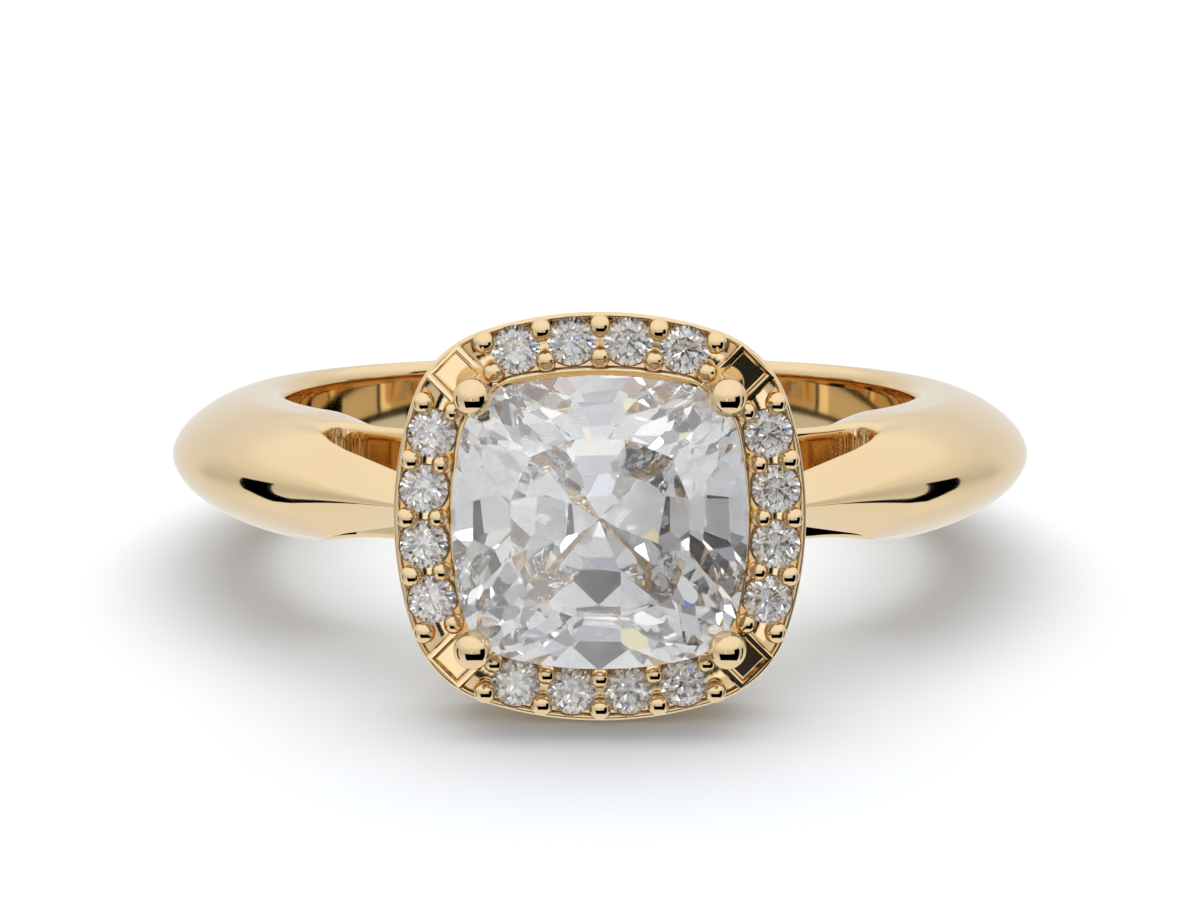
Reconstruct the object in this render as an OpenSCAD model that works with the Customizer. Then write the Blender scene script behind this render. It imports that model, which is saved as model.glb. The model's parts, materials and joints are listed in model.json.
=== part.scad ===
// Cushion halo ring with cathedral shoulders, lying on its side as it rests by itself.
// It is built upright round the finger bore, whose axis is Z, with the head towards -Y.
// The whole ring is then leant back until the halo's rim and the back of the band share a floor.

/* [Band] */
// Radius of the finger bore
finger_r = 8.45; // [7.6:0.05:9.4]
// Metal between the bore and the crest at the sides
side_t = 3.0; // [2.6:0.05:3.4]
// Metal between the bore and the crest at the back
back_t = 2.0; // [1.7:0.05:2.4]
// Width of the band where it is widest
band_w = 3.28; // [2.8:0.02:3.8]
// Width that the band has tapered to at its back
back_w = 2.96; // [2.5:0.02:3.2]
// Depth of the sloping flanks, from the crest inwards
flank_d = 2.0; // [1.7:0.05:2.4]
// Radius of the rounding between a flank and the bore
round_r = 1.7; // [1.65:0.01:2.2]
// Width left for the bore's own wall after that rounding
wall_w = 2.82; // [2.4:0.02:3]

/* [Shoulders] */
// Angle between a shoulder's straight run and the ring's cross line
arm_angle = 45; // [42:0.5:48]
// Thickness of the shoulder beside its window
arm_t = 0.95; // [0.8:0.05:1.2]
// Width of the shoulder where it meets the halo
arm_w = 1.66; // [1.4:0.02:2.2]
// Thickness of the finger rail under the head
rail_t = 1.1; // [0.9:0.05:1.3]
// Distance from the centre line to the window's round end
window_end = 7.4; // [7:0.05:7.5]
// Radius of that round end
window_r = 0.35; // [0.25:0.01:0.45]
// Lean of the window's outer edge beside its round end
window_lean = 17.4; // [10:0.2:25]

/* [Halo] */
// Half width of the halo
halo_half = 5.05; // [4.95:0.01:5.2]
// Radius of the halo's bowed sides
halo_side_r = 9.2; // [8.5:0.1:11]
// Radius of the halo's corners
halo_corner_r = 2.7; // [2.5:0.05:3]
// Height of the halo's rim above the finger bore
halo_rise = 5.75; // [5.4:0.05:6.2]
// Thickness of the halo plate
halo_t = 1.75; // [1.6:0.05:2]
// How far the plate steps in below its rim
step_in = 0.17; // [0.1:0.01:0.2]
// Height of the rim above that step
lip_t = 0.6; // [0.5:0.05:0.8]
// Width of the raised edge outside and inside the stones
edge_t = 0.12; // [0.1:0.01:0.14]
// Depth of the channel that the stones sit in
channel_d = 0.3; // [0.2:0.05:0.35]

/* [Halo stones] */
// Diameter of a halo stone
melee_d = 1.18; // [1.1:0.01:1.2]
// Distance from one halo stone to the next along a side
melee_pitch = 1.38; // [1.34:0.01:1.42]
// Distance from the halo's centre to the middle of a line of stones
row_out = 4.34; // [4.3:0.005:4.36]
// Radius of the bowed line of stones
row_r = 9.5; // [9:0.1:11]
// Distance of a halo stone's girdle below the halo's rim
girdle_drop = 0.15; // [0.1:0.01:0.2]
// Radius of the beads on the outer edge
bead_out_r = 0.28; // [0.26:0.01:0.3]
// Radius of the beads on the inner edge
bead_in_r = 0.26; // [0.24:0.01:0.28]
// Distance of a bead from the line of stones
bead_off = 0.375; // [0.36:0.005:0.39]
// Height of a bead's centre above the halo's rim
bead_lift = 0.08; // [0.04:0.01:0.12]

/* [Centre stone] */
// Half width of the centre stone
gem_half = 3.6; // [3.5:0.01:3.66]
// Radius of the centre stone's bowed sides
gem_side_r = 10; // [9:0.5:14]
// Radius of the centre stone's corners
gem_corner_r = 1.7; // [1.5:0.05:2]
// Height of its girdle above the halo's rim
gem_lift = 0.9; // [0.8:0.02:1]
// Height of the crown, from girdle to table
crown_h = 0.98; // [0.8:0.02:1.1]
// Depth of the pavilion, from girdle to culet
pavilion_d = 3.1; // [2.9:0.05:3.3]
// Width of the table as a share of the stone
table_share = 0.6; // [0.52:0.01:0.66]
// Gap between a stone and the metal that holds it
stone_gap = 0.03; // [0.02:0.005:0.05]

/* [Claws] */
// Radius of a claw's round tip
tip_r = 0.44; // [0.4:0.01:0.48]
// Radius of a claw's stem
stem_r = 0.36; // [0.32:0.01:0.4]
// Distance of a claw from each centre line of the halo
claw_out = 3.09; // [3.06:0.01:3.14]
// Height of a claw tip's centre above the girdle
tip_lift = 0.3; // [0.26:0.01:0.36]
// Half length of the collar that the claws grow from
collar_half = 1.45; // [1.3:0.05:1.6]
// Height of that collar above the finger rail
collar_t = 0.75; // [0.6:0.05:1]

/* [Corner pockets] */
// Side of a square corner pocket
pocket_w = 0.78; // [0.7:0.01:0.82]
// Distance of a pocket from the halo's centre
pocket_out = 4.98; // [4.95:0.01:5.02]
// Depth of a pocket
pocket_d = 0.45; // [0.3:0.05:0.6]
// Width of the bar on each side of a pocket
bar_w = 0.2; // [0.16:0.01:0.24]

/* [Hidden] */
$fn = 96;
stones_a_side = 4;
sides = 4;
stone_count = sides * stones_a_side;
function stone_name(i) = str("halo_stone_", i < 10 ? "0" : "", i);
gold = [0.87, 0.72, 0.45];
diamond = [0.9, 0.93, 0.96];
over = 1; // overrun of a cut past the face that it opens
sunk = 0.3; // depth that joined metal runs into its neighbour
hair = 0.01; // keeps two faces from lying in one plane

// The crest is a circle whose centre is moved forward, so the band thins towards its back.
side_out = finger_r + side_t;
back_out = finger_r + back_t;
crest_r = (side_out * side_out / back_out + back_out) / 2;
crest_shift = crest_r - back_out;
round_at = finger_r + sqrt(round_r * round_r - wall_w * wall_w / 4);
taper_from = -0.8 * finger_r;

// Heights above the bore's axis.
rail_r = finger_r + rail_t;
collar_h = rail_r + collar_t;
halo_h = finger_r + halo_rise;
halo_back = halo_h - halo_t;
melee_h = halo_h - girdle_drop;
bead_h = halo_h + bead_lift;
gem_h = halo_h + gem_lift;
tip_h = gem_h + tip_lift;

// Half width of a flank at a depth below the crest.
crest_fall = 1.3;
crest_round = 0.54;
flank_steps = 12;
function flank(d) = band_w / 2 * pow(1 - pow(max(0, 1 - d / flank_d), crest_fall), crest_round);
flank_line = [for (i = [0:flank_steps]) let (d = flank_d * pow(i / flank_steps, 2)) [crest_r - d, flank(d)]];

// The floor touches the halo's lower rim and the first part of the back that it meets.
back_steps = 40;
function back_half(d) = min(flank(d), back_w / 2 + (band_w / 2 + hair - back_w / 2) * d / back_out,
    sqrt(pow(round_r, 2) - pow(max(0, round_at - back_out + d), 2)));
rest_tilt = atan(min([for (i = [0:back_steps]) let (d = back_t * i / back_steps)
    (halo_half - back_half(d)) / (halo_h + back_out - d)]));

// Shoulder lines, seen along the bore.
arm_len = (halo_back + sunk / 3 - crest_shift - (crest_r - arm_t) * sin(arm_angle)) / cos(arm_angle);
window_at = [window_end, -sqrt(pow(rail_r + window_r, 2) - pow(window_end, 2))];
window_side = window_at + window_r * [cos(window_lean), -sin(window_lean)];
arm_normal = [cos(arm_angle), -sin(arm_angle)];
arm_inside = crest_r - arm_t + crest_shift * sin(arm_angle);
window_run = (arm_inside - window_side * arm_normal) / sin(arm_angle - window_lean);
window_bend = window_side - window_run * [sin(window_lean), cos(window_lean)];
arm_end = [0, -arm_inside / sin(arm_angle)] + 3 * [1, 1 / tan(arm_angle)];

// Centre of a corner arc that meets two bowed sides smoothly, and the turn at which it does.
function corner_at(half, side_r, corner_r) =
    (half - side_r + sqrt(2 * pow(side_r - corner_r, 2) - pow(side_r - half, 2))) / 2;
function corner_turn(half, side_r, corner_r) =
    let (c = corner_at(half, side_r, corner_r)) atan2(c, c + side_r - half);

// Stands the ring as it rests.
module rested() {
    rotate([-rest_tilt, 0, 0]) children();
}

// Turns a shape built upwards from the bore's axis so that up is towards the head.
module headwards() {
    rotate([90, 0, 0]) children();
}

// Square with bowed sides and round corners, made of true arcs.
module cushion(half, side_r, corner_r) {
    c = corner_at(half, side_r, corner_r);
    turn = corner_turn(half, side_r, corner_r);
    near = c + corner_r * cos(turn);
    far = c + corner_r * sin(turn);
    intersection() {
        intersection_for (q = [0:sides - 1])
            rotate(90 * q) translate([half - side_r, 0]) circle(r = side_r, $fn = 360);
        rotate(45) square(sqrt(2) * (near + far), center = true);
    }
    for (q = [0:sides - 1])
        rotate(90 * q) intersection() {
            translate([c, c]) circle(r = corner_r, $fn = 120);
            rotate(45) translate([(near + far) / sqrt(2), -half]) square([half, 2 * half]);
        }
}

// Section of the band and shoulders, crest outwards.
module band_section() {
    inner = finger_r - crest_shift - over;
    polygon(concat([[inner, -band_w / 2]],
        [for (i = [flank_steps:-1:1]) [flank_line[i][0], -flank_line[i][1]]],
        flank_line,
        [[inner, band_w / 2]]));
}

// The round band, and a straight run from each shoulder up into the halo.
module band_blank() {
    translate([0, -crest_shift, 0]) {
        rotate_extrude($fn = 180) band_section();
        for (m = [0, 1])
            mirror([m, 0, 0]) rotate([0, 0, -arm_angle]) headwards()
                linear_extrude(arm_len) band_section();
    }
}

// Everything within the band's rounded inner edges.
module edge_round() {
    rotate_extrude($fn = 180) {
        translate([round_at, 0]) circle(r = round_r, $fn = 120);
        translate([round_at, -band_w]) square([halo_h, 2 * band_w]);
    }
}

// The ring's outline from the side: narrower towards the halo, and a little towards the back.
module side_taper() {
    upper = [[-halo_h - over, arm_w / 2], [-halo_back, arm_w / 2], [taper_from, band_w / 2 + hair],
        [0, band_w / 2 + hair], [back_out, back_w / 2], [back_out + over, back_w / 2]];
    lower = [for (i = [len(upper) - 1:-1:0]) [upper[i][0], -upper[i][1]]];
    translate([-2 * side_out, 0, 0]) rotate([90, 0, 90]) linear_extrude(4 * side_out)
        polygon(concat(upper, lower));
}

// The opening between the finger rail and the shoulders, through along the bore.
module window() {
    foot = window_at * (rail_r - sunk) / (rail_r + window_r);
    right = [[0, -rail_r / 2], foot, window_at, window_side, window_bend, arm_end];
    left = [for (i = [len(right) - 1:-1:1]) [-right[i][0], right[i][1]]];
    translate([0, 0, -band_w]) linear_extrude(2 * band_w) difference() {
        union() {
            polygon(concat(right, left));
            for (m = [-1, 1])
                translate([m * window_at[0], window_at[1]]) circle(r = window_r, $fn = 60);
        }
        circle(r = rail_r, $fn = 180);
    }
}

// Band, shoulders and finger rail.
module band() {
    difference() {
        intersection() {
            band_blank();
            edge_round();
            side_taper();
        }
        window();
        translate([0, 0, -band_w]) cylinder(r = finger_r, h = 2 * band_w, $fn = 180);
    }
}

// Places a piece on a side's bowed line of stones, by its distance along the line.
module on_row(side, along, off) {
    rotate(90 * side) translate([row_out - row_r, 0, 0]) rotate(along / row_r * 180 / PI)
        translate([row_r + off, 0, 0]) children();
}

// Halo plate before its channel is cut.
module halo_plate() {
    translate([0, 0, halo_back]) linear_extrude(halo_t - lip_t + sunk / 2)
        cushion(halo_half - step_in, halo_side_r, halo_corner_r);
    translate([0, 0, halo_h - lip_t]) linear_extrude(lip_t)
        cushion(halo_half, halo_side_r, halo_corner_r);
}

// Channel for the small stones, stopped at each corner.
module halo_channel() {
    block_half = pocket_w / 2 + bar_w;
    translate([0, 0, halo_h - channel_d]) linear_extrude(channel_d + over) difference() {
        cushion(halo_half - edge_t, halo_side_r, halo_corner_r);
        cushion(opening_half + edge_t, gem_side_r, gem_corner_r);
        for (q = [0:sides - 1])
            rotate(45 + 90 * q) translate([0, -block_half]) square([2 * halo_half, 2 * block_half]);
    }
}
opening_half = gem_half - 0.04;

// Square pockets in the corners.
module corner_pockets() {
    for (q = [0:sides - 1])
        rotate([0, 0, 45 + 90 * q])
            translate([pocket_out - pocket_w / 2, -pocket_w / 2, halo_h - pocket_d])
                cube([pocket_w, pocket_w, pocket_d + over]);
}

// Straight round rod between two points.
module rod(p, q, r) {
    v = q - p;
    translate(p) rotate([0, acos(v[2] / norm(v)), atan2(v[1], v[0])]) cylinder(r = r, h = norm(v));
}

// One claw: a round tip, a stem through the halo, and the knee that its leg starts from.
module claw() {
    translate([claw_out, claw_out, knee_h]) cylinder(r = stem_r, h = tip_h - knee_h);
    translate([claw_out, claw_out, tip_h]) sphere(r = tip_r);
    translate([claw_out, claw_out, knee_h]) sphere(r = stem_r + sunk / 5);
}

// Collar on the rail, the claws, and a leg from each claw down to the collar.
module head() {
    foot = [collar_half - stem_r, collar_z - stem_r, collar_h - sunk];
    translate([-collar_half, -collar_z, rail_r - sunk])
        cube([2 * collar_half, 2 * collar_z, collar_t + sunk]);
    for (q = [0:sides - 1])
        rotate(90 * q) claw();
    for (m = [-1, 1])
        for (n = [-1, 1])
            rod([m * foot[0], n * foot[1], foot[2]], [m * claw_out, n * claw_out, knee_h], stem_r);
}
collar_z = collar_half - 0.25;
knee_h = halo_back - 2.2 * stem_r;

// Bead prongs, a pair between each two stones and at the ends of a side.
module beads() {
    for (q = [0:sides - 1])
        for (i = [0:stones_a_side])
            for (b = [[-bead_off, bead_in_r], [bead_off, bead_out_r]])
                on_row(q, (i - stones_a_side / 2) * melee_pitch, b[0])
                    translate([0, 0, bead_h]) {
                        sphere(r = b[1]);
                        translate([0, 0, -bead_lift - channel_d - sunk / 3])
                            cylinder(r = b[1] - sunk / 10, h = bead_lift + channel_d + sunk / 3);
                    }
}

// All that lies behind a flat whose normal leans from straight up and points along a turn.
module behind(lean, turn, out) {
    rotate([0, 0, turn]) rotate([0, lean, 0]) translate([-2 * gem_half, -2 * gem_half, out - 4 * gem_half])
        cube(4 * gem_half);
}

// Reach of the centre stone's outline, square to a flat that faces along a turn.
function gem_reach(turn) =
    let (f = 45 - abs(45 - turn % 90),
         c = corner_at(gem_half, gem_side_r, gem_corner_r))
    f < corner_turn(gem_half, gem_side_r, gem_corner_r)
        ? gem_side_r - (gem_side_r - gem_half) * cos(f) : c * (cos(f) + sin(f)) + gem_corner_r;

// A facet of the centre stone through two points, each a share of the reach and a height.
module gem_facet(turn, near, far) {
    reach = gem_reach(turn);
    lean = atan2(far[1] - near[1], (near[0] - far[0]) * reach);
    up = sign(far[1] - near[1]);
    behind(up > 0 ? lean : 180 + lean, turn,
        sin(abs(lean)) * near[0] * reach + cos(lean) * up * near[1]);
}

// Cushion cut centre stone, its girdle at height zero.
module gem() {
    belt = gem_half / 90;
    top = belt + crown_h;
    low = -belt - pavilion_d;
    intersection() {
        translate([0, 0, low]) linear_extrude(top - low) cushion(gem_half, gem_side_r, gem_corner_r);
        intersection_for (k = [0:7]) gem_facet(45 * k, [1, belt], [table_share, top]);
        intersection_for (k = [0:7])
            gem_facet(45 * k + 22.5, [table_share + 0.16, belt + 0.62 * crown_h], [table_share - 0.03, top]);
        intersection_for (k = [0:15])
            gem_facet(22.5 * k + 11.25, [1, belt], [0.8, belt + 0.6 * crown_h]);
        intersection_for (k = [0:7]) gem_facet(45 * k, [0.8, low * 0.27], [0, low]);
        intersection_for (k = [0:7]) gem_facet(45 * k + 22.5, [0.7, low * 0.38], [0, low]);
        intersection_for (k = [0:15]) gem_facet(22.5 * k + 11.25, [1, -belt], [0.8, low * 0.29]);
    }
}

// Space that the claws leave for the centre stone, with its gap.
module gem_space() {
    belt = gem_half / 90 + stone_gap;
    intersection() {
        translate([0, 0, -crown_h / 2]) linear_extrude(crown_h)
            cushion(gem_half + stone_gap, gem_side_r, gem_corner_r);
        intersection_for (q = [0:sides - 1])
            gem_facet(45 + 90 * q, [1, belt], [table_share, belt + crown_h]);
        intersection_for (k = [0:15])
            gem_facet(22.5 * k + 11.25, [1, -belt], [0.8, -belt - 0.29 * pavilion_d]);
    }
}

// Round brilliant, its girdle at height zero. The small shift parts flats that would meet in a point.
melee_r = melee_d / 2;
melee_belt = melee_r * 0.045;
melee_table = melee_r * 0.56;
melee_crown = (melee_r - melee_table) * tan(34.5);
melee_pavilion = melee_r * tan(40.8);
melee_shift = melee_r * 0.007;
star_at = (melee_r + melee_table * cos(22.5)) / 2;
star_drop = melee_crown - tan(34.5) * (melee_r - star_at * cos(22.5));
star_lean = atan2(star_drop, star_at - melee_table * cos(22.5));
upper_lean = atan2(melee_crown - star_drop, (melee_r - star_at) * cos(11.25));
lower_lean = 42.2;
module melee() {
    top = melee_belt + melee_crown;
    low = -melee_belt - melee_pavilion + 3 * melee_shift;
    half_out = melee_r * cos(11.25);
    intersection() {
        translate([0, 0, low]) cylinder(r = melee_r, h = top - low, $fn = 48);
        intersection_for (k = [0:7])
            behind(34.5, 45 * k, sin(34.5) * melee_r + cos(34.5) * melee_belt);
        intersection_for (k = [0:7])
            behind(star_lean, 45 * k + 22.5,
                sin(star_lean) * melee_table * cos(22.5) + cos(star_lean) * top + melee_shift);
        intersection_for (k = [0:7])
            behind(180 - 40.8, 45 * k, sin(40.8) * melee_r + cos(40.8) * melee_belt);
        intersection_for (k = [0:15])
            behind(upper_lean, 22.5 * k + 11.25,
                sin(upper_lean) * half_out + cos(upper_lean) * melee_belt - melee_shift);
        intersection_for (k = [0:15])
            behind(180 - lower_lean, 22.5 * k + 11.25,
                sin(lower_lean) * half_out + cos(lower_lean) * melee_belt - melee_shift);
    }
}

// Space that the metal leaves for a halo stone, with its gap.
module melee_space() {
    r = melee_r + stone_gap;
    belt = melee_belt + stone_gap;
    rotate_extrude() polygon([[0, -belt - r * tan(40.8)], [r, -belt], [r, belt],
        [melee_table, belt + (r - melee_table) * tan(34.5)], [0, belt + (r - melee_table) * tan(34.5)]]);
}

// All the gold.
module mounting() {
    color(gold) difference() {
        union() {
            difference() {
                union() {
                    band();
                    headwards() halo_plate();
                }
                headwards() {
                    halo_channel();
                    corner_pockets();
                    translate([0, 0, halo_back - sunk]) linear_extrude(halo_t + over)
                        cushion(opening_half, gem_side_r, gem_corner_r);
                    for (q = [0:sides - 1])
                        for (i = [0:stones_a_side - 1])
                            on_row(q, (i - (stones_a_side - 1) / 2) * melee_pitch, 0)
                                translate([0, 0, melee_h]) cylinder(r = melee_r + stone_gap, h = over);
                }
            }
            headwards() {
                head();
                beads();
            }
        }
        headwards() {
            translate([0, 0, gem_h]) gem_space();
            for (q = [0:sides - 1])
                for (i = [0:stones_a_side - 1])
                    on_row(q, (i - (stones_a_side - 1) / 2) * melee_pitch, 0)
                        translate([0, 0, melee_h]) melee_space();
        }
    }
}

module centre_stone() {
    color(diamond) headwards() translate([0, 0, gem_h]) gem();
}

// Halo stones are numbered along each side in turn.
module halo_stone(number) {
    side = floor((number - 1) / stones_a_side);
    place = (number - 1) % stones_a_side;
    color(diamond) headwards() on_row(side, (place - (stones_a_side - 1) / 2) * melee_pitch, 0)
        translate([0, 0, melee_h]) melee();
}

rested() mounting();
rested() centre_stone();
for (i = [1:stone_count])
    rested() halo_stone(i);
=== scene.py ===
import json
import math

import bmesh
import bpy
from mathutils import Matrix, Vector


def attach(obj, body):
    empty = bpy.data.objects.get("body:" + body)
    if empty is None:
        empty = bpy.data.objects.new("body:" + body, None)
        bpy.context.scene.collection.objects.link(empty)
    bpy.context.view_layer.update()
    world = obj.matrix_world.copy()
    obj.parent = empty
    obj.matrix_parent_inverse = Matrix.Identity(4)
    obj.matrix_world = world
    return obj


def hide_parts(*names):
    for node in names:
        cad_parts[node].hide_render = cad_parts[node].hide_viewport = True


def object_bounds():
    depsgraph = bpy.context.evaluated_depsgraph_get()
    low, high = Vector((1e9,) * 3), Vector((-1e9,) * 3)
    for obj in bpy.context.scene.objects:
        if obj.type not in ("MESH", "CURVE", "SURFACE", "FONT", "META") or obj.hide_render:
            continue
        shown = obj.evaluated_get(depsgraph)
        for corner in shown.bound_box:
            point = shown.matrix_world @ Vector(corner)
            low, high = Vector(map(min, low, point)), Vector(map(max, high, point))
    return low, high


# Everything is shaped in millimetres, upright round the finger bore: head towards -Y, bore along Z.
# placePiece() then leans it back to its rest on the floor and brings it to metres.

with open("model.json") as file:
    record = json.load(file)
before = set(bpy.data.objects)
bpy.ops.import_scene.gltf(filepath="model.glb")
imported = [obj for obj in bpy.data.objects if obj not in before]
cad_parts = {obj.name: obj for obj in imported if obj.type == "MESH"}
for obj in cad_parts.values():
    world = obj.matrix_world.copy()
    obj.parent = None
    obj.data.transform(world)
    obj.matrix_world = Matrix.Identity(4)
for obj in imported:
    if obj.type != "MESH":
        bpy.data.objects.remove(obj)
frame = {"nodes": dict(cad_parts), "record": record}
cadLow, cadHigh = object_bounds()
boreMount = next(m for m in frame["record"]["mounts"] if m["name"] == "finger_bore")
restTilt = math.atan2(boreMount["axis"][1], boreMount["axis"][2])
toRest = Matrix.Rotation(-restTilt, 4, "X") @ Matrix.Scale(0.001, 4)
headwards = Matrix.Rotation(math.pi / 2, 4, "X")  # up from the bore's axis becomes the head's way
print("frame loaded, rest tilt", round(math.degrees(restTilt), 2))

band = {
    "boreRadius": 8.45,
    "sideThickness": 2.94,
    "backThickness": 2.0,
    "halfWidth": 1.64,
    "backHalfWidth": 1.48,
    "flankDepth": 2.0,
    "crestFall": 1.3,
    "crestRound": 0.54,
    "creaseHalf": 0.1,  # half the narrow outer face along the crest, which fades from the shoulders back
    "creaseFrom": -7.9,
    "creaseTo": -4.4,
    "creaseShare": 0.8,  # how much of the crest's own rounding that face takes off
    "crestNear": 0.02,  # the edge's rounding isn't blended in so near to the crest
    "softEdge": 0.1,
    "edgeRadius": 1.7,  # rounding from flank to bore
    "boreHalfWidth": 1.41,
    "boreFillet": 0.2,
    "smoothAngle": 50,
}
shoulder = {
    "angle": math.radians(45),
    "thickness": 0.95,
    "taperFrom": -9.1,
    "taperSlope": 0.235,
    "taperSoft": 0.1,
    "taperLeast": 0.3,
    "railThickness": 1.1,
    "railNarrowing": (0.24, 0.12),  # at the bore and at the window
    "railNarrowsFrom": math.radians(-38),
    "railNarrowsTo": math.radians(-54),
    "railDepth": (1.15, 1.65),  # below the crest, where that narrowing sets in and is full
    "windowEnd": (6.5, -7.95),
    "windowRadius": 0.6,
    "windowLean": math.radians(20),
    "bendRadius": 2.5,
    "windowFillet": 0.16,
    "intoHalo": 0.1,
}
# how finely each stretch of the band is divided
strip = {
    "wall": 5,
    "round": 5,
    "top": 8,
    "arc": 16,
    "flank": 22,
    "fillet": 6,
    "rail": 84,
    "rail run": 44,
    "lean": 10,
    "bend": 14,
    "arm": 26,
    "round the band": 170,
    "blend": 45,
    "crestPull": 1.7,
}
halo = {
    "half": 5.05,
    "sideRadius": 9.2,
    "cornerRadius": 2.7,
    "rim": 14.2,  # height above the bore's axis
    "thickness": 1.75,
    "wallDraft": 0.17,
    "edge": 0.15,
    "channelDepth": 0.3,
    "openingHalf": 3.56,
    "openingSide": 10.0,
    "openingCorner": 1.7,
    "fillet": 0.02,
    "filletSteps": 2,
    "sharpAngle": 50,  # edges sharper than this are filleted and not smoothed
    "spacing": 0.16,
    # the raised edges' rounded sections: inset from the wall and drop below the rim, as shares of their width
    "outerRound": [(0.0, 0.6), (0.12, 0.25), (0.4, 0.0), (0.7, 0.0), (0.95, 0.25)],
    "innerRound": [(0.9, 0.25), (0.6, 0.0), (0.3, 0.0), (0.0, 0.4)],
}

outSide = band["boreRadius"] + band["sideThickness"]
outBack = band["boreRadius"] + band["backThickness"]
crestRadius = (outSide**2 / outBack + outBack) / 2
crestShift = crestRadius - outBack
railRadius = band["boreRadius"] + shoulder["railThickness"]
haloBack = halo["rim"] - halo["thickness"]
weldGap = 0.0005  # points nearer than this are one point


def clearSelection():
    if bpy.context.object and bpy.context.object.mode != "OBJECT":
        bpy.ops.object.mode_set(mode="OBJECT")
    bpy.ops.object.select_all(action="DESELECT")


def takeNew(name):
    piece = bpy.context.object
    piece.name = piece.data.name = name
    return piece


def selectOnly(piece):
    clearSelection()
    piece.select_set(True)
    bpy.context.view_layer.objects.active = piece


def applyModifier(piece, kind, **settings):
    selectOnly(piece)
    modifier = piece.modifiers.new(kind.lower(), kind)
    for key, value in settings.items():
        setattr(modifier, key, value)
    bpy.ops.object.modifier_apply(modifier=modifier.name)


def bevelEdges(piece, width, steps, degrees):
    applyModifier(piece, "BEVEL", width=width, segments=steps, limit_method="ANGLE",
        angle_limit=math.radians(degrees))


def joinPieces(main, others):
    clearSelection()
    for other in others:
        other.select_set(True)
    main.select_set(True)
    bpy.context.view_layer.objects.active = main
    bpy.ops.object.join()
    return main


def editAll(piece):
    selectOnly(piece)
    bpy.ops.object.mode_set(mode="EDIT")
    bpy.ops.mesh.select_all(action="SELECT")


def turnFacesOut(piece):
    editAll(piece)
    bpy.ops.mesh.normals_make_consistent(inside=False)
    bpy.ops.object.mode_set(mode="OBJECT")


def cutAway(piece, cutter):
    turnFacesOut(cutter)
    applyModifier(piece, "BOOLEAN", operation="DIFFERENCE", object=cutter, solver="EXACT")
    bpy.data.objects.remove(cutter)


def smoothByAngle(piece, degrees):
    selectOnly(piece)
    bpy.ops.object.shade_smooth_by_angle(angle=math.radians(degrees))


def placePiece(piece, slot, material, *nodes):
    piece.data.transform(toRest)
    piece.data.materials.clear()
    piece.data.materials.append(material)
    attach(piece, "root")
    if nodes:
        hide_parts(*nodes)
    print("made", piece.name, len(piece.data.polygons), "faces")


# The band's shape is half its width at each point of the plane that the finger hole is round in.
def softMin(a, b, soft):
    near = max(soft - abs(a - b), 0.0) / soft
    return min(a, b) - near * near * soft / 4


def flankHalf(depth, y):
    # a narrow, nearly flat outer face up to its crease, then the rounded flank
    creaseHalf, fall, power = band["creaseHalf"], band["crestFall"], band["crestRound"]
    natural = band["flankDepth"] / fall * (creaseHalf / band["halfWidth"]) ** (1 / power)
    fade = min(1.0, max(0.0, (band["creaseTo"] - y) / (band["creaseTo"] - band["creaseFrom"])))
    shift = band["creaseShare"] * natural * fade
    depth = max(depth, 0.0)
    if depth < natural - shift:
        return creaseHalf * math.sqrt(depth / (natural - shift))
    share = max(0.0, 1.0 - (depth + shift) / band["flankDepth"])
    return band["halfWidth"] * (1.0 - share**fall) ** power


def taperShare(y):
    # narrower towards the halo, and a little towards the back
    if y > 0:
        return 1 + (band["backHalfWidth"] / band["halfWidth"] - 1) * min(1.0, y / outBack)
    fall = max(0.0, shoulder["taperFrom"] - y)
    soft = fall * fall / (fall + shoulder["taperSoft"])
    return max(shoulder["taperLeast"], 1 - shoulder["taperSlope"] * soft)


def edgeHalf(radius):
    roundAt = band["boreRadius"] + math.sqrt(band["edgeRadius"] ** 2 - band["boreHalfWidth"] ** 2)
    inward = max(0.0, roundAt - radius)
    return math.sqrt(max(0.01, band["edgeRadius"] ** 2 - inward**2))


def roundOver(half, inward, radius):
    # lowers the face towards an edge as a fillet of that radius does
    short = max(0.0, radius - max(inward, 0.0))
    return half - radius + math.sqrt(radius**2 - short**2)


def crestDepth(x, y):
    # how far a point lies inside the crest line: the round one, or the shoulder's straight one
    sine, cosine = math.sin(shoulder["angle"]), math.cos(shoulder["angle"])
    onward = -abs(x) * sine - (y + crestShift) * cosine
    if onward > 0:
        return crestRadius - (abs(x) * cosine - (y + crestShift) * sine)
    return crestRadius - math.hypot(x, y + crestShift)


def smoothShare(value, low, high):
    share = min(1.0, max(0.0, (value - low) / (high - low)))
    return share * share * (3 - 2 * share)


def bandHalf(x, y):
    depth = crestDepth(x, y)
    flank, edge = flankHalf(depth, y) * taperShare(y), edgeHalf(math.hypot(x, y))
    half = min(flank, edge) if depth < band["crestNear"] else softMin(flank, edge, band["softEdge"])
    if y < 0:
        # the rail under the head narrows
        onRail = smoothShare(depth, *shoulder["railDepth"])
        turn = -math.atan2(y, abs(x))
        forward = smoothShare(turn, -shoulder["railNarrowsFrom"], -shoulder["railNarrowsTo"])
        atBore, atWindow = shoulder["railNarrowing"]
        outward = smoothShare(math.hypot(x, y), band["boreRadius"], railRadius)
        half *= 1 - (atBore + (atWindow - atBore) * outward) * onRail * forward
    inward = math.hypot(x, y) - band["boreRadius"]
    return roundOver(half, inward, band["boreFillet"]) if inward < band["boreFillet"] else half


def polar(radius, turn):
    return Vector((math.cos(turn), math.sin(turn))) * radius


def crestAt(turn):
    # distance from the bore's axis to the round crest
    along = -math.sin(turn) * crestShift
    return along + math.sqrt(crestRadius**2 - crestShift**2 + along**2)


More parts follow.
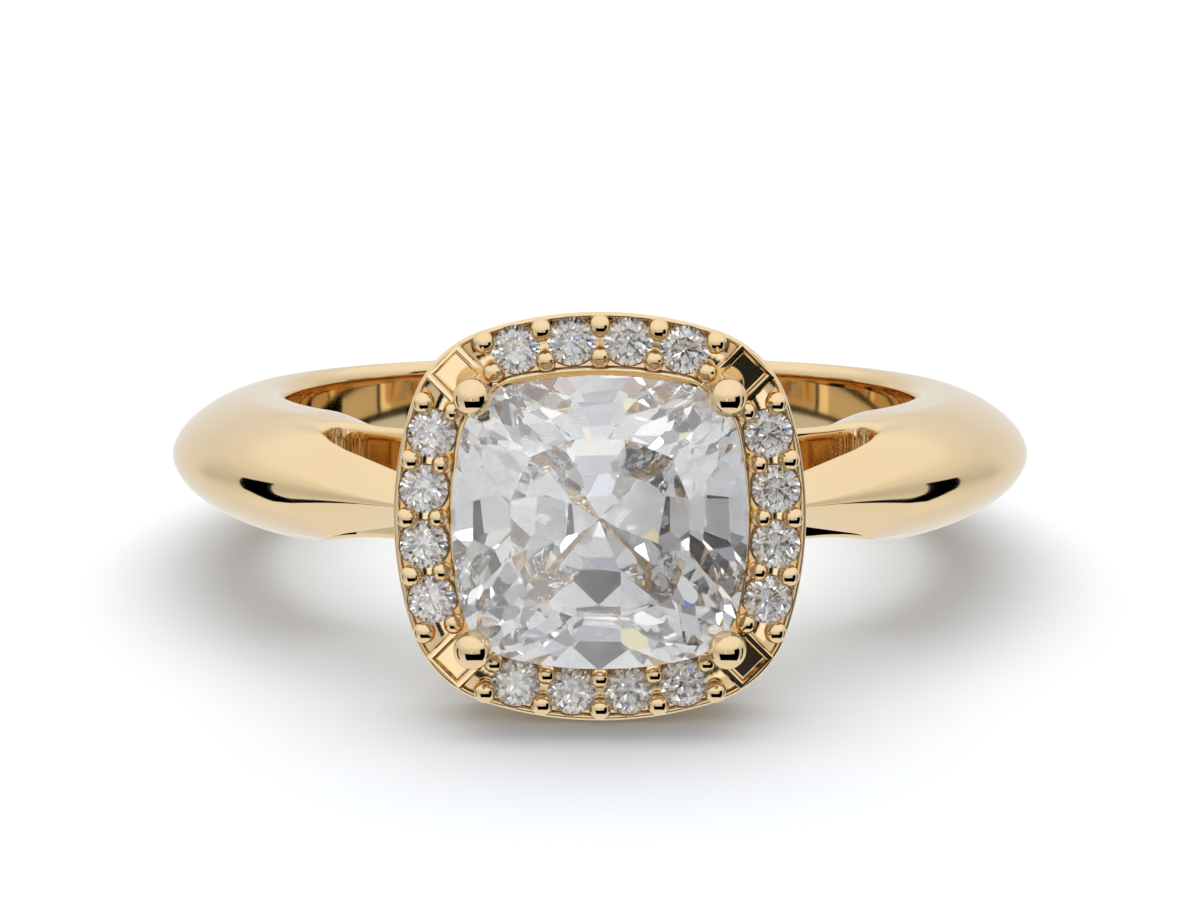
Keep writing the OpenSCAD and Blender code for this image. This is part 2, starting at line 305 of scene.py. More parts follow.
def windowLine():
    # one side of the window's outline as points with their normals into the metal:
    # along the rail and straight off it, round the closed end, up the leaning edge,
    # round the bend and along the shoulder
    sine, cosine = math.sin(shoulder["angle"]), math.cos(shoulder["angle"])
    lean, radius, bendRadius = shoulder["windowLean"], shoulder["windowRadius"], shoulder["bendRadius"]
    centre = Vector(shoulder["windowEnd"])
    railEnd = math.atan2(centre.y, centre.x) - math.acos((railRadius + radius) / centre.length)
    line = []
    onRound = strip["rail"] - strip["rail run"]
    for i in range(onRound + 1):
        turn = -math.pi / 2 + (railEnd + math.pi / 2) * i / onRound
        line.append((polar(railRadius, turn), -polar(1, turn)))
    for i in range(1, strip["rail run"] + 1):
        share = i / strip["rail run"]
        place = polar(railRadius, railEnd).lerp(centre - polar(radius, railEnd), share)
        line.append((place, -polar(1, railEnd)))
    for i in range(1, strip["arc"] + 1):
        turn = railEnd + math.pi - (math.pi + railEnd + lean) * i / strip["arc"]
        line.append((centre + polar(radius, turn), polar(1, turn)))
    leanNormal, armNormal = polar(1, -lean), Vector((cosine, -sine))
    inside = crestRadius - shoulder["thickness"] + crestShift * sine
    side = centre + radius * leanNormal
    leanWay, armWay = Vector((-math.sin(lean), -math.cos(lean))), Vector((-sine, -cosine))
    run = (inside - side.dot(armNormal)) / math.sin(shoulder["angle"] - lean)
    bend = side + run * leanWay
    cut = bendRadius * math.tan((shoulder["angle"] - lean) / 2)
    length = (bend.y + haloBack + shoulder["intoHalo"]) / cosine
    pivot = bend - cut * leanWay - bendRadius * leanNormal
    for i in range(1, strip["lean"] + 1):
        line.append((side + (run - cut) * i / strip["lean"] * leanWay, leanNormal))
    for i in range(1, strip["bend"] + 1):
        turn = -lean + (lean - shoulder["angle"]) * i / strip["bend"]
        line.append((pivot + polar(bendRadius, turn), polar(1, turn)))
    for i in range(1, strip["arm"] + 1):
        line.append((bend + (cut + (length - cut) * i / strip["arm"]) * armWay, armNormal))
    return line


def shapeGrid(name, along, across, place):
    # a flat grid whose points are then moved to their places on the band
    clearSelection()
    bpy.ops.mesh.primitive_grid_add(x_subdivisions=along, y_subdivisions=across, size=2)
    piece = takeNew(name)
    for vertex in piece.data.vertices:
        i = round((vertex.co.x + 1) / 2 * along)
        j = round((vertex.co.y + 1) / 2 * across)
        vertex.co = place(i, j)
    return piece


def makeBand(material):
    # a quarter of the band in four grids that share their borders, mirrored across both planes
    line = windowLine()
    wall, roundSteps, top = strip["wall"], strip["round"], strip["top"]
    arc, flank = strip["arc"], strip["flank"]
    inner, fillet = band["boreRadius"], shoulder["windowFillet"]
    roundTo = inner + band["boreFillet"]
    loops = wall + roundSteps

    def onBand(point):
        return Vector((point.x, point.y, bandHalf(point.x, point.y)))

    def boreSide(turn, j):
        # the bore's wall up from the middle plane, then its rounded edge
        radius = inner + band["boreFillet"] * (1 - math.cos(math.pi / 2 * max(0, j - wall) / roundSteps))
        place = onBand(polar(radius, turn))
        place.z *= min(1, j / wall)
        return place

    def railPlace(i, j):
        end = line[i][0] + line[i][1] * fillet
        turn = math.atan2(end.y, end.x)
        if j <= loops:
            return boreSide(turn, j)
        return onBand(polar(roundTo, turn).lerp(end, (j - loops) / top))

    def collarPlace(i, j):
        # up the window's wall and over its filleted edge
        point, normal = line[i]
        tilt = math.pi / 2 * max(0, j - wall) / strip["fillet"]
        point = point + normal * fillet * (1 - math.cos(tilt))
        height = bandHalf(point.x, point.y) - fillet * (1 - math.sin(tilt))
        return Vector((point.x, point.y, height * min(1, j / wall)))

    armFrom = strip["rail"] + arc
    armSteps = len(line) - 1 - armFrom
    edge = [point + normal * fillet for point, normal in line[armFrom:]]
    crestFrom = math.atan2(edge[0].y + crestShift, edge[0].x)
    turned = crestRadius * (crestFrom + shoulder["angle"])
    straight = (haloBack + shoulder["intoHalo"] + fillet * math.cos(shoulder["angle"]) - crestShift
        - crestRadius * math.sin(shoulder["angle"])) / math.cos(shoulder["angle"])

    def crestLine(i):
        reach = (turned + straight) * i / armSteps
        middle = Vector((0, -crestShift))
        if reach < turned:
            return middle + polar(crestRadius, crestFrom - reach / crestRadius)
        way = Vector((-math.sin(shoulder["angle"]), -math.cos(shoulder["angle"])))
        return middle + polar(crestRadius, -shoulder["angle"]) + (reach - turned) * way

    def flankPlace(i, j):
        share = 1 - (1 - j / flank) ** strip["crestPull"]
        place = onBand(edge[i].lerp(crestLine(i), share))
        if j == flank:
            place.z = 0
        return place

    def seam(j):
        # the line where the round of the band meets rail, window end and shoulder
        if j <= top:
            return railPlace(strip["rail"], j + loops)
        if j <= top + arc:
            return collarPlace(strip["rail"] + j - top, wall + strip["fillet"])
        return flankPlace(0, j - top - arc)

    rows = top + arc + flank
    seams = []
    for j in range(rows + 1):
        start = seam(j)
        turn = math.atan2(start.y, start.x)
        seams.append((turn, (math.hypot(start.x, start.y) - roundTo) / (crestAt(turn) - roundTo)))

    def roundPlace(i, j):
        if j <= loops:
            return boreSide(seams[0][0] + (math.pi / 2 - seams[0][0]) * i / strip["round the band"], j)
        j -= loops
        turn, share = seams[j]
        turn += (math.pi / 2 - turn) * i / strip["round the band"]
        blend = min(1, i / strip["blend"])
        blend = blend * blend * (3 - 2 * blend)
        share += (1 - (1 - j / rows) ** strip["crestPull"] - share) * blend
        place = onBand(polar(roundTo + (crestAt(turn) - roundTo) * share, turn))
        if j == rows:
            place.z = 0
        return place

    ring = shapeGrid("band", strip["round the band"], loops + rows, roundPlace)
    joinPieces(ring, [
        shapeGrid("rail", strip["rail"], loops + top, railPlace),
        shapeGrid("windowEdge", len(line) - 1, wall + strip["fillet"], collarPlace),
        shapeGrid("shoulderFlank", armSteps, flank, flankPlace)])
    editAll(ring)
    bpy.ops.mesh.remove_doubles(threshold=weldGap)
    bpy.ops.object.mode_set(mode="OBJECT")
    applyModifier(ring, "MIRROR", use_axis=(True, False, True), use_mirror_merge=True,
        merge_threshold=weldGap)
    editAll(ring)
    bpy.ops.mesh.fill_holes(sides=0)
    bpy.ops.object.mode_set(mode="OBJECT")
    turnFacesOut(ring)
    smoothByAngle(ring, band["smoothAngle"])
    placePiece(ring, "gold", material, "mounting")


def cornerAt(half, sideRadius, cornerRadius):
    # how far a round corner's centre lies from each middle line, where it meets the bowed sides smoothly
    rest = 2 * (sideRadius - cornerRadius) ** 2 - (sideRadius - half) ** 2
    return (half - sideRadius + math.sqrt(rest)) / 2


def cushionPoint(turn, half, sideRadius, cornerRadius, inset=0.0):
    # the outline's point whose outward normal faces along turn, moved in by inset
    quarter = round(turn / (math.pi / 2))
    local = turn - quarter * math.pi / 2
    corner = cornerAt(half, sideRadius, cornerRadius)
    change = math.atan2(corner, corner + sideRadius - half)
    if abs(local) <= change:
        centre, radius = Vector((half - sideRadius, 0)), sideRadius
    else:
        centre, radius = Vector((corner, math.copysign(corner, local))), cornerRadius
    point = centre + (radius - inset) * Vector((math.cos(local), math.sin(local)))
    return Matrix.Rotation(quarter * math.pi / 2, 2) @ point


def cushionTurns(half, sideRadius, cornerRadius, spacing):
    # normals spaced so that points along the outline are evenly apart
    corner = cornerAt(half, sideRadius, cornerRadius)
    change = math.atan2(corner, corner + sideRadius - half)
    sideSteps = max(2, round(sideRadius * change / spacing))
    cornerSteps = max(2, round(cornerRadius * (math.pi / 4 - change) / spacing))
    eighth = [change * i / sideSteps for i in range(sideSteps)]
    eighth += [change + (math.pi / 4 - change) * i / cornerSteps for i in range(cornerSteps)]
    quarter = eighth + [math.pi / 4] + [math.pi / 2 - t for t in reversed(eighth[1:])]
    return [q * math.pi / 2 + t for q in range(4) for t in quarter]


smallStones = {
    "diameter": 1.18,
    "pitch": 1.38,
    "rowOut": 4.34,
    "rowRadius": 9.5,
    "girdleDrop": 0.15,
    "aSide": 4,
    "seatGap": 0.035,
    "seatSides": 48,
    "seatTip": 0.05,
    "seatSlope": math.radians(40.8),
}


def onRow(side, along, off):
    turn = along / smallStones["rowRadius"]
    reach = smallStones["rowRadius"] + off
    x = smallStones["rowOut"] - smallStones["rowRadius"] + reach * math.cos(turn)
    y = reach * math.sin(turn)
    return Matrix.Rotation(side * math.pi / 2, 2) @ Vector((x, y))


def makeHaloPlate(material):
    outerTurns = cushionTurns(halo["half"], halo["sideRadius"], halo["cornerRadius"], halo["spacing"])
    count = len(outerTurns)
    rim, back, edge = halo["rim"], haloBack, halo["edge"]
    floor = rim - halo["channelDepth"]
    # each ring of the section: which outline it follows, how far in from it, and its height
    section = [("outer", halo["wallDraft"], back), ("outer", halo["wallDraft"] * 0.5, (rim + back) / 2)]
    section += [("outer", edge * inset, rim - edge * drop) for inset, drop in halo["outerRound"]]
    section += [("outer", edge, floor), ("inner", -edge, floor)]
    section += [("inner", -edge * inset, rim - edge * drop) for inset, drop in halo["innerRound"]]
    section.append(("inner", 0.0, back))
    clearSelection()
    bpy.ops.mesh.primitive_torus_add(
        major_radius=5, minor_radius=1, major_segments=count, minor_segments=len(section))
    plate = takeNew("haloPlate")
    outlines = {
        "outer": (halo["half"], halo["sideRadius"], halo["cornerRadius"]),
        "inner": (halo["openingHalf"], halo["openingSide"], halo["openingCorner"]),
    }
    for vertex in plate.data.vertices:
        station, place = divmod(vertex.index, len(section))
        kind, inset, height = section[place]
        point = cushionPoint(outerTurns[station], *outlines[kind], inset)
        vertex.co = (point.x, point.y, height)
    turnFacesOut(plate)
    middle = (smallStones["aSide"] - 1) / 2
    for side in range(4):
        for i in range(smallStones["aSide"]):
            cutAway(plate, makeSeat(onRow(side, (i - middle) * smallStones["pitch"], 0)))
    bevelEdges(plate, halo["fillet"], halo["filletSteps"], halo["sharpAngle"])
    smoothByAngle(plate, halo["sharpAngle"])
    plate.data.transform(headwards)
    placePiece(plate, "gold", material, "mounting")


def makeSeat(place):
    radius = smallStones["diameter"] / 2 + smallStones["seatGap"]
    girdle = halo["rim"] - smallStones["girdleDrop"]
    depth = radius * math.tan(smallStones["seatSlope"])
    clearSelection()
    bpy.ops.mesh.primitive_cone_add(vertices=smallStones["seatSides"], radius1=smallStones["seatTip"],
        radius2=radius, depth=depth, location=(place.x, place.y, girdle - depth / 2))
    seat = takeNew("seatCutter")
    bpy.ops.object.transform_apply(location=True, rotation=True, scale=True)
    bpy.ops.object.mode_set(mode="EDIT")
    mesh = bmesh.from_edit_mesh(seat.data)
    for face in mesh.faces:
        face.select_set(face.normal.z > 0.9)
    bpy.ops.mesh.extrude_region_move(TRANSFORM_OT_translate={"value": (0, 0, 1)})
    bpy.ops.object.mode_set(mode="OBJECT")
    return seat


pocket = {
    "side": 0.78,
    "out": 4.98,
    "depth": 0.27,
    "bar": 0.2,
    "blockReach": (4.0, 5.47),  # from and to, out from the halo's centre
    "blockDrop": 0.2,  # of the block's middle below the rim
    "blockHeight": 0.44,
    "bevel": 0.06,
    "bevelSteps": 4,
    "sharpAngle": 40,
}


def makeCorners(material):
    blocks = []
    halfAcross = pocket["side"] / 2 + pocket["bar"]
    inner, outer = pocket["blockReach"]
    for corner in range(4):
        clearSelection()
        bpy.ops.mesh.primitive_cube_add(size=1,
            location=((inner + outer) / 2, 0, halo["rim"] - pocket["blockDrop"]),
            scale=(outer - inner, 2 * halfAcross, pocket["blockHeight"]))
        block = takeNew("cornerBlock")
        bpy.ops.object.transform_apply(location=True, rotation=True, scale=True)
        bpy.ops.mesh.primitive_cube_add(size=1, location=(pocket["out"], 0, halo["rim"]),
            scale=(pocket["side"], pocket["side"], 2 * pocket["depth"]))
        cutter = takeNew("pocketCutter")
        bpy.ops.object.transform_apply(location=True, rotation=True, scale=True)
        cutAway(block, cutter)
        bevelEdges(block, pocket["bevel"], pocket["bevelSteps"], pocket["sharpAngle"])
        block.data.transform(Matrix.Rotation(math.pi / 4 + corner * math.pi / 2, 4, "Z"))
        blocks.append(block)
    joined = joinPieces(blocks[0], blocks[1:])
    joined.name = "cornerPockets"
    joined.data.transform(headwards)
    placePiece(joined, "gold", material, "mounting")


def makeBall(name, radius, stemRadius, stemFrom, height, segments):
    # a ball with its stem drawn down from it
    clearSelection()
    bpy.ops.mesh.primitive_uv_sphere_add(segments=segments, ring_count=segments // 2, radius=radius)
    ball = takeNew(name)
    bpy.ops.object.mode_set(mode="EDIT")
    mesh = bmesh.from_edit_mesh(ball.data)
    drop = -math.sqrt(radius**2 - stemRadius**2)
    for vertex in mesh.verts:
        if vertex.co.z < drop - 0.001:
            flat = math.hypot(vertex.co.x, vertex.co.y)
            if flat > 1e-6:
                vertex.co.x *= stemRadius / flat
                vertex.co.y *= stemRadius / flat
            atFoot = flat <= 1e-6 or vertex.co.z < drop - 0.5 * (radius + drop)
            vertex.co.z = stemFrom - height if atFoot else drop
    bmesh.update_edit_mesh(ball.data)
    bpy.ops.object.mode_set(mode="OBJECT")
    for vertex in ball.data.vertices:
        vertex.co.z += height
    return ball


bead = {
    "outer": 0.28,
    "inner": 0.26,
    "off": 0.375,
    "lift": 0.08,
    "stemShare": 0.8,
    "sunk": 0.05,
    "segments": 24,
}


def makeBeads(material):
    floor = halo["rim"] - halo["channelDepth"] - bead["sunk"]
    height = halo["rim"] + bead["lift"]
    beads = []
    for name, off in (("inner", -bead["off"]), ("outer", bead["off"])):
        model = makeBall("bead", bead[name], bead[name] * bead["stemShare"], floor, height, bead["segments"])
        for side in range(4):
            for i in range(smallStones["aSide"] + 1):
                place = onRow(side, (i - smallStones["aSide"] / 2) * smallStones["pitch"], off)
                copy = bpy.data.objects.new("bead", model.data.copy())
                bpy.context.scene.collection.objects.link(copy)
                copy.data.transform(Matrix.Translation((place.x, place.y, 0)))
                beads.append(copy)
        bpy.data.objects.remove(model)
    joined = joinPieces(beads[0], beads[1:])
    joined.name = "beadProngs"
    selectOnly(joined)
    bpy.ops.object.shade_smooth()
    joined.data.transform(headwards)
    placePiece(joined, "gold", material, "mounting")


def makeRod(start, end, radius):
    clearSelection()
    way = end - start
    bpy.ops.mesh.primitive_cylinder_add(vertices=32, radius=radius, depth=way.length)
    rod = takeNew("leg")
    rod.data.transform(way.to_track_quat("Z", "Y").to_matrix().to_4x4())
    rod.data.transform(Matrix.Translation((start + end) / 2))
    return rod


claw = {
    "out": 3.09,
    "tip": 0.475,
    "stem": 0.36,
    "tipHeight": 15.4,
    "kneeDrop": 2.2,  # of the bend below the halo, in stem radii
    "kneeExtra": 0.06,
    "collarHalf": 1.45,
    "collarDepth": 1.2,
    "collarTop": 10.3,
    "sunk": 0.3,  # how far joined metal runs into its neighbour
    "bevel": 0.12,
    "segments": 48,
    "smoothAngle": 40,
}


def makeClaws(material):
    kneeHeight = haloBack - claw["kneeDrop"] * claw["stem"]
    pieces = []
    for across in (-1, 1):
        for up in (-1, 1):
            stem = makeBall(
                "claw", claw["tip"], claw["stem"], kneeHeight, claw["tipHeight"], claw["segments"])
            stem.data.transform(Matrix.Translation((across * claw["out"], up * claw["out"], 0)))
            knee = Vector((across * claw["out"], up * claw["out"], kneeHeight))
            bpy.ops.mesh.primitive_uv_sphere_add(
                segments=32, ring_count=16, radius=claw["stem"] + claw["kneeExtra"])
            kneeBall = takeNew("knee")
            kneeBall.data.transform(Matrix.Translation(knee))
            foot = Vector((across * (claw["collarHalf"] - claw["stem"]),
                up * (claw["collarDepth"] - claw["stem"]), claw["collarTop"] - claw["sunk"]))
            pieces += [stem, kneeBall, makeRod(foot, knee, claw["stem"])]
    clearSelection()
    low = railRadius - claw["sunk"]
    bpy.ops.mesh.primitive_cube_add(size=1, location=(0, 0, (low + claw["collarTop"]) / 2),
        scale=(2 * claw["collarHalf"], 2 * claw["collarDepth"], claw["collarTop"] - low))
    collar = takeNew("claws")
    bpy.ops.object.transform_apply(location=True, rotation=True, scale=True)
    applyModifier(collar, "BEVEL", width=claw["bevel"], segments=4, limit_method="ANGLE")
    joinPieces(collar, pieces)
    smoothByAngle(collar, claw["smoothAngle"])
    collar.data.transform(headwards)
    placePiece(collar, "gold", material, "mounting")


centreStone = {
    "half": 3.6,
    "sideRadius": 10.0,
    "cornerRadius": 1.7,
    "girdleHeight": 15.1,
    "girdle": 0.04,  # half its thickness
    "crown": 0.98,
    "spacing": 0.25,
    "uneven": 0.014,
    "unevenBeat": (7.3, 5.1),  # spreads that over the facets, for the turn and the lean
}
# rows of facets: how many, the turn of the first, and two points of each as a share of the reach and a height
crownRows = [
    (8, 0, (1, 0.04), (0.6, 1.02)),
    (8, 22.5, (0.76, 0.648), (0.57, 1.02)),
    (16, 11.25, (1, 0.04), (0.8, 0.628)),
]
pavilionRows = [
    (32, 5.625, (1, -0.04), (0.86, -0.56)),
    (32, 0, (0.88, -0.49), (0.72, -1.04)),
    (16, 11.25, (0.76, -0.9), (0.56, -1.55)),
    (16, 0, (0.6, -1.42), (0.4, -2.02)),
    (8, 22.5, (0.44, -1.9), (0.22, -2.53)),
    (8, 0, (0.26, -2.42), (0, -3.12)),
]


def reachOf(turn):
    # reach of the stone's outline, square to a flat that faces along turn
    local = turn - round(turn / (math.pi / 2)) * math.pi / 2
    half, sideRadius, cornerRadius = (centreStone[key] for key in ("half", "sideRadius", "cornerRadius"))
    corner = cornerAt(half, sideRadius, cornerRadius)
    if abs(local) < math.atan2(corner, corner + sideRadius - half):
        return sideRadius - (sideRadius - half) * math.cos(local)
    return corner * (math.cos(local) + abs(math.sin(local))) + cornerRadius


def makeCentreStone(material):
    # a prism of the stone's outline, ground down facet by facet
    half, sideRadius, cornerRadius = (centreStone[key] for key in ("half", "sideRadius", "cornerRadius"))
    turns = cushionTurns(half, sideRadius, cornerRadius, centreStone["spacing"])
    culet = pavilionRows[-1][3][1]
    clearSelection()
    bpy.ops.mesh.primitive_circle_add(vertices=len(turns), radius=1, fill_type="NGON")
    stone = takeNew("centreDiamond")
    for vertex, turn in zip(stone.data.vertices, turns):
        point = cushionPoint(turn, half, sideRadius, cornerRadius)
        vertex.co = (point.x, point.y, culet)
    editAll(stone)
    top = centreStone["girdle"] + centreStone["crown"]
    bpy.ops.mesh.extrude_region_move(TRANSFORM_OT_translate={"value": (0, 0, top - culet)})
    bpy.ops.object.mode_set(mode="OBJECT")
    turnFacesOut(stone)
    bpy.ops.object.mode_set(mode="EDIT")
    for rows, way in ((crownRows, 1), (pavilionRows, -1)):
        for count, first, (nearShare, nearHeight), (farShare, farHeight) in rows:
            for k in range(count):
                turn = math.radians(first) + 2 * math.pi * k / count
                reach = reachOf(turn)
                lean = math.atan2(abs(farHeight - nearHeight), (nearShare - farShare) * reach)
                if way < 0:
                    # a cutter's hand is never quite even
                    turnBeat, leanBeat = centreStone["unevenBeat"]
                    turn += centreStone["uneven"] * math.sin(turnBeat * k + count)
                    lean += centreStone["uneven"] * math.cos(leanBeat * k + first)
                sine, cosine = math.sin(turn), math.cos(turn)
                facing = Vector((math.sin(lean) * cosine, math.sin(lean) * sine, way * math.cos(lean)))
                point = Vector((nearShare * reach * cosine, nearShare * reach * sine, nearHeight))
                bpy.ops.mesh.select_all(action="SELECT")
                bpy.ops.mesh.bisect(
                    plane_co=point, plane_no=facing, use_fill=True, clear_outer=True, threshold=1e-5)
    bpy.ops.mesh.select_all(action="SELECT")
    bpy.ops.mesh.remove_doubles(threshold=weldGap)
    bpy.ops.mesh.dissolve_limited(angle_limit=math.radians(0.05))
    bpy.ops.object.mode_set(mode="OBJECT")
    turnFacesOut(stone)
    bpy.ops.object.shade_flat()
    stone.data.transform(headwards @ Matrix.Translation((0, 0, centreStone["girdleHeight"])))
    placePiece(stone, "centre_stone", material, "centre_stone")


def newMaterial(name):
    material = bpy.data.materials.new(name)
    material.use_nodes = True
    nodes, links = material.node_tree.nodes, material.node_tree.links
    return material, nodes, links, nodes["Principled BSDF"]


polish = {
    "colour": (0.85, 0.66, 0.4, 1),
    "warm": (0.84, 0.645, 0.38, 1),
    "grain": 260,
    "roughness": 0.06,
    "roughnessShares": (0.7, 1.3),  # least and most
}


def makeGold():
    material, nodes, links, shader = newMaterial("polishedGold")
    place = nodes.new("ShaderNodeTexCoord")
    wave = nodes.new("ShaderNodeTexNoise")
    wave.inputs["Scale"].default_value = polish["grain"]
    wave.inputs["Detail"].default_value = 2
    tint = nodes.new("ShaderNodeMix")
    tint.data_type = "RGBA"
    tint.inputs["A"].default_value = polish["colour"]
    tint.inputs["B"].default_value = polish["warm"]
    links.new(place.outputs["Object"], wave.inputs["Vector"])
    links.new(wave.outputs["Fac"], tint.inputs["Factor"])
    links.new(tint.outputs["Result"], shader.inputs["Base Color"])
    haze = nodes.new("ShaderNodeMapRange")
    for end, share in zip(("To Min", "To Max"), polish["roughnessShares"]):
        haze.inputs[end].default_value = polish["roughness"] * share
    links.new(wave.outputs["Fac"], haze.inputs["Value"])
    links.new(haze.outputs["Result"], shader.inputs["Roughness"])
    shader.inputs["Metallic"].default_value = 1.0
    return material


def makeDiamond(name):
    material, nodes, links, shader = newMaterial(name)
    shader.inputs["Base Color"].default_value = (1, 1, 1, 1)
    shader.inputs["Roughness"].default_value = 0.0
    shader.inputs["IOR"].default_value = 2.42
    shader.inputs["Transmission Weight"].default_value = 0.95
    return material


studio = {
    "floor": (0.65, 0.665, 0.685, 1),
    "floorRoughness": 0.6,
    "floorSheen": 0.1,
    "floorSize": 3,
    "floorGap": 0.00001,  # keeps the floor just under the ring
    "softboxWay": (0, 0.35, 1),
    "softboxDistance": 0.4,
    "softboxPower": 1.8,
    "softboxWidth": 0.62,
    "softboxDepth": 0.5,
    # brightness of the room by height above the horizon, in degrees
    "levels": [(-90, 0.92), (-42, 0.92), (-25, 0.8), (-8, 0.64), (0, 0.68), (10, 0.76), (20, 0.88),
        (32, 1.04), (90, 1.1)],
    # cards round the ring: turn to the right of the front and height, each from and to, and brightness
    "cards": [
        {"turn": (-47, 77), "height": (-46, -8), "soft": 1.0, "level": 0.0},
        {"turn": (44, 77), "height": (-46, 14), "soft": 1.0, "level": 0.0},
        {"turn": (-9, -0.6), "height": (-4, 8), "soft": 0.6, "level": 1.2},
        {"turn": (0.6, 3.6), "height": (-4, 8), "soft": 0.6, "level": 0.0},
        {"turn": (96.5, 110), "height": (-38, 2), "soft": 0.6, "level": 0.0},
        {"turn": (-110, -96.5), "height": (-38, 2), "soft": 0.6, "level": 0.0},
        {"turn": (140, 181), "height": (-42, 8), "soft": 14.0, "level": 0.84},
        {"turn": (-181, -140), "height": (-42, 8), "soft": 14.0, "level": 0.84},
    ],
    # what the cut stones look out on: small lights and shades, by chance, and how rarely they are coloured
    "lightSize": 5.0,
    "lights": [(0.0, 0.0), (0.08, 0.1), (0.17, 0.26), (0.32, 0.42), (0.52, 0.62), (0.74, 0.85), (0.91, 1.15),
        (0.965, 3.0)],
    "tints": [(0.0, (1, 1, 1)), (0.86, (0.86, 0.9, 1.0)), (0.925, (0.1, 0.22, 1.0)), (0.95, (1.0, 0.62, 0.3)),
        (0.97, (1.0, 0.9, 0.5))],
    "bounces": 24,
}


def makeFloor():
    clearSelection()
    bpy.ops.mesh.primitive_plane_add(size=studio["floorSize"], location=(0, 0, cadLow.z - studio["floorGap"]))
    floor = takeNew("floor")
    material, nodes, links, shader = newMaterial("paleFloor")
    shader.inputs["Base Color"].default_value = studio["floor"]
    shader.inputs["Roughness"].default_value = studio["floorRoughness"]
    shader.inputs["Specular IOR Level"].default_value = studio["floorSheen"]
    floor.data.materials.append(material)
    floor.visible_glossy = False  # the gold mirrors the room all round instead


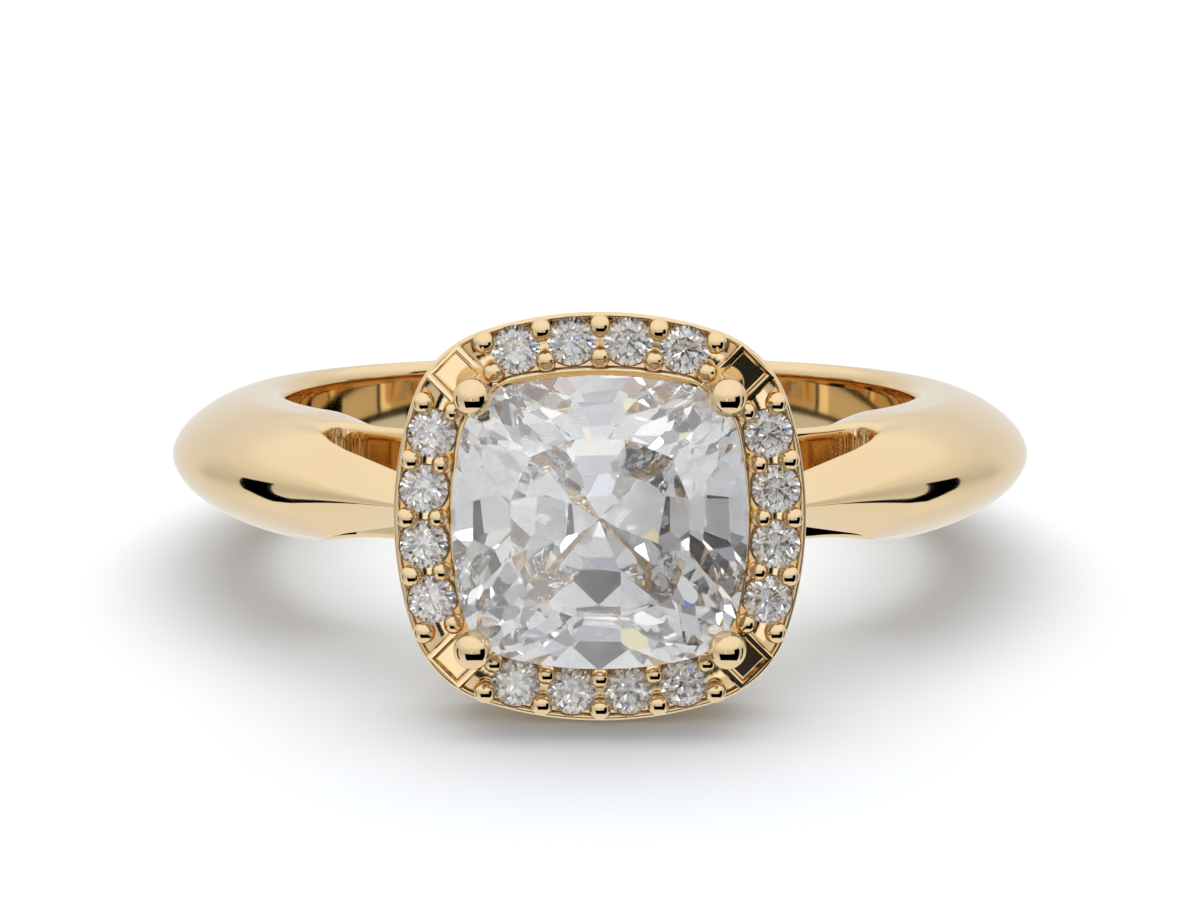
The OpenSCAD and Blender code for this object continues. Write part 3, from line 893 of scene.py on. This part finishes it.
def makeWorld():
    # a room whose brightness goes by height, with black cards at the front and sides
    world = bpy.data.worlds.new("studio")
    bpy.context.scene.world = world
    world.use_nodes = True
    nodes, links = world.node_tree.nodes, world.node_tree.links
    background = nodes["Background"]

    def mathNode(operation, first, second=0.0):
        node = nodes.new("ShaderNodeMath")
        node.operation = operation
        for socket, value in zip(node.inputs, (first, second)):
            if isinstance(value, (int, float)):
                socket.default_value = value
            else:
                links.new(value, socket)
        return node.outputs[0]

    def step(value, low, high):
        node = nodes.new("ShaderNodeMapRange")
        node.interpolation_type = "SMOOTHSTEP"
        node.inputs["From Min"].default_value = math.radians(low)
        node.inputs["From Max"].default_value = math.radians(high)
        links.new(value, node.inputs["Value"])
        return node.outputs["Result"]

    place = nodes.new("ShaderNodeTexCoord")
    split = nodes.new("ShaderNodeSeparateXYZ")
    links.new(place.outputs["Generated"], split.inputs[0])
    height = mathNode("ARCSINE", split.outputs["Z"])
    front = mathNode("MULTIPLY", split.outputs["Y"], -1.0)
    turn = mathNode("ARCTAN2", split.outputs["X"], front)
    ramp = nodes.new("ShaderNodeValToRGB")
    ramp.color_ramp.interpolation = "EASE"
    links.new(mathNode("ADD", mathNode("DIVIDE", height, math.pi), 0.5), ramp.inputs["Fac"])
    stops = ramp.color_ramp.elements
    for i, (degrees, level) in enumerate(studio["levels"]):
        stop = stops[i] if i < 2 else stops.new(1.0)
        stop.position = degrees / 180 + 0.5
        stop.color = (level, level, level, 1)
    result = ramp.outputs["Color"]
    for card in studio["cards"]:
        soft = card["soft"]
        inside = mathNode("MULTIPLY",
            mathNode("SUBTRACT", step(turn, card["turn"][0] - soft, card["turn"][0]),
                step(turn, card["turn"][1], card["turn"][1] + soft)),
            mathNode("SUBTRACT", step(height, card["height"][0] - soft, card["height"][0]),
                step(height, card["height"][1], card["height"][1] + soft)))
        mix = nodes.new("ShaderNodeMix")
        mix.data_type = "RGBA"
        mix.inputs["B"].default_value = (card["level"],) * 3 + (1,)
        links.new(inside, mix.inputs["Factor"])
        links.new(result, mix.inputs["A"])
        result = mix.outputs["Result"]
    cells = nodes.new("ShaderNodeTexVoronoi")
    cells.inputs["Scale"].default_value = studio["lightSize"]
    links.new(place.outputs["Generated"], cells.inputs["Vector"])
    chance = nodes.new("ShaderNodeSeparateColor")
    links.new(cells.outputs["Color"], chance.inputs[0])

    def pick(value, table):
        node = nodes.new("ShaderNodeValToRGB")
        node.color_ramp.interpolation = "CONSTANT"
        for i, (position, colour) in enumerate(table):
            stop = node.color_ramp.elements[i] if i < 2 else node.color_ramp.elements.new(1.0)
            stop.position = position
            stop.color = (*colour, 1) if isinstance(colour, tuple) else (colour, colour, colour, 1)
        links.new(value, node.inputs["Fac"])
        return node.outputs["Color"]

    sparkle = nodes.new("ShaderNodeMix")
    sparkle.data_type = "RGBA"
    sparkle.blend_type = "MULTIPLY"
    sparkle.inputs["Factor"].default_value = 1.0
    links.new(pick(chance.outputs["Red"], studio["lights"]), sparkle.inputs["A"])
    links.new(pick(chance.outputs["Green"], studio["tints"]), sparkle.inputs["B"])
    path = nodes.new("ShaderNodeLightPath")
    seen = nodes.new("ShaderNodeMix")
    seen.data_type = "RGBA"
    links.new(mathNode("MINIMUM", path.outputs["Transmission Depth"], 1.0), seen.inputs["Factor"])
    links.new(result, seen.inputs["A"])
    links.new(sparkle.outputs["Result"], seen.inputs["B"])
    links.new(seen.outputs["Result"], background.inputs["Color"])
    background.inputs["Strength"].default_value = 1.0


def addPanel(name, direction, distance, width, height, power):
    clearSelection()
    back = Vector(direction).normalized()
    bpy.ops.object.light_add(type="AREA", location=back * distance)
    lamp = bpy.context.object
    lamp.name = name
    lamp.data.shape = "RECTANGLE"
    lamp.data.size, lamp.data.size_y = width, height
    lamp.data.energy = power
    lamp.visible_glossy = False  # the room is what the gold mirrors
    lamp.rotation_euler = back.to_track_quat("Z", "Y").to_euler()


photo = {
    "distance": 0.150,
    "elevation": math.radians(7.19),
    "focalPixels": 5553,
    "pixelsWide": 1200,
    "sensor": 36,
    "drop": 0.000126,
    "clip": (0.01, 10),
}


def makeCamera():
    clearSelection()
    bpy.ops.object.camera_add()
    camera = bpy.context.object
    camera.name = "photoCamera"
    camera.data.lens = photo["focalPixels"] / photo["pixelsWide"] * photo["sensor"]
    camera.data.sensor_width = photo["sensor"]
    tall = photo["elevation"] + restTilt
    away = Vector((0, -math.cos(tall), math.sin(tall)))
    upward = Vector((0, math.sin(tall), math.cos(tall)))
    camera.location = away * photo["distance"] - upward * photo["drop"]
    camera.rotation_euler = away.to_track_quat("Z", "Y").to_euler()
    camera.data.clip_start, camera.data.clip_end = photo["clip"]
    bpy.context.scene.camera = camera


gold = makeGold()
makeBand(gold)
makeHaloPlate(gold)
makeCorners(gold)
makeBeads(gold)
makeClaws(gold)

makeCentreStone(makeDiamond("centreDiamond"))
smallDiamond = makeDiamond("smallDiamond")
for name, node in frame["nodes"].items():
    if name.startswith("halo_stone"):
        node.data.materials.clear()
        node.data.materials.append(smallDiamond)
print("stones dressed")

makeFloor()
makeWorld()
addPanel("overheadSoftbox", studio["softboxWay"], studio["softboxDistance"],
    studio["softboxWidth"], studio["softboxDepth"], studio["softboxPower"])
makeCamera()
bpy.context.scene.view_settings.view_transform = "Standard"
# light turns many times inside a cut stone before it comes out
for kind in ("max_bounces", "glossy_bounces", "transmission_bounces"):
    setattr(bpy.context.scene.cycles, kind, studio["bounces"])
print("studio ready")
